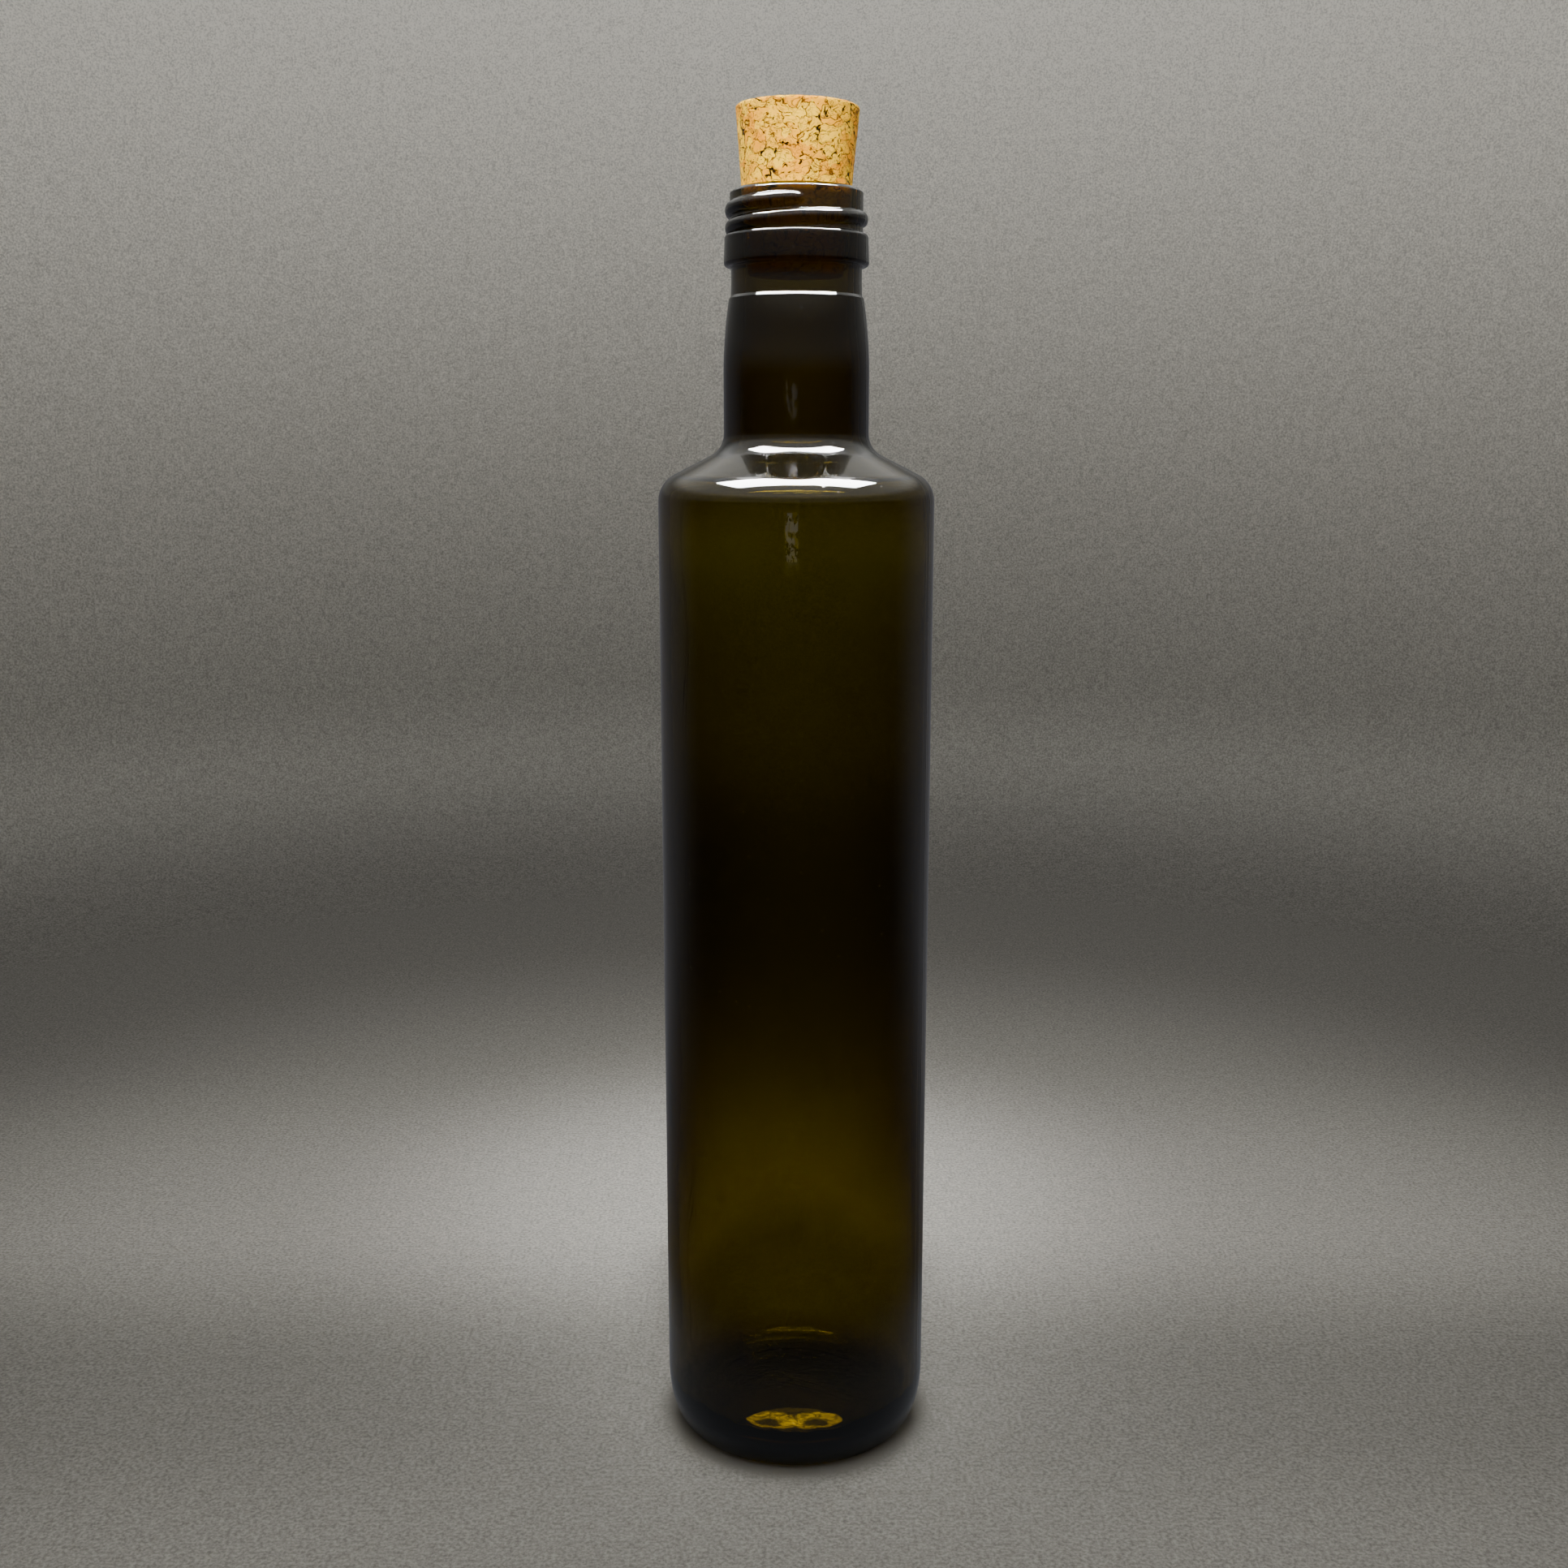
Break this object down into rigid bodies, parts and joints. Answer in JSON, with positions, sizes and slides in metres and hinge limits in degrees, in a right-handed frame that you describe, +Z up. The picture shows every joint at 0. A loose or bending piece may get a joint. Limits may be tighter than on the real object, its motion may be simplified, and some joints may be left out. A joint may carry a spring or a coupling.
{
  "type": "corked glass oil bottle",
  "caption": "Tall round dark olive glass bottle with a sloped shoulder, flared neck, threaded finish with a bead under it, and a tapered cork standing in its mouth.",
  "frame": {"origin": "centre of the bearing ring, on the surface that the bottle stands on", "axes": "+Z up along the bottle's axis, -Y towards the front of the picture, +X to its right"},
  "size_m": [0.06, 0.06, 0.2962],
  "materials": {
    "olive_glass": "polished, dark olive, see-through against strong light",
    "agglomerated_cork": "matte, granular"
  },
  "bodies": {
    "root": {"bottle": "olive_glass", "cork": "agglomerated_cork"}
  },
  "joints": []
}
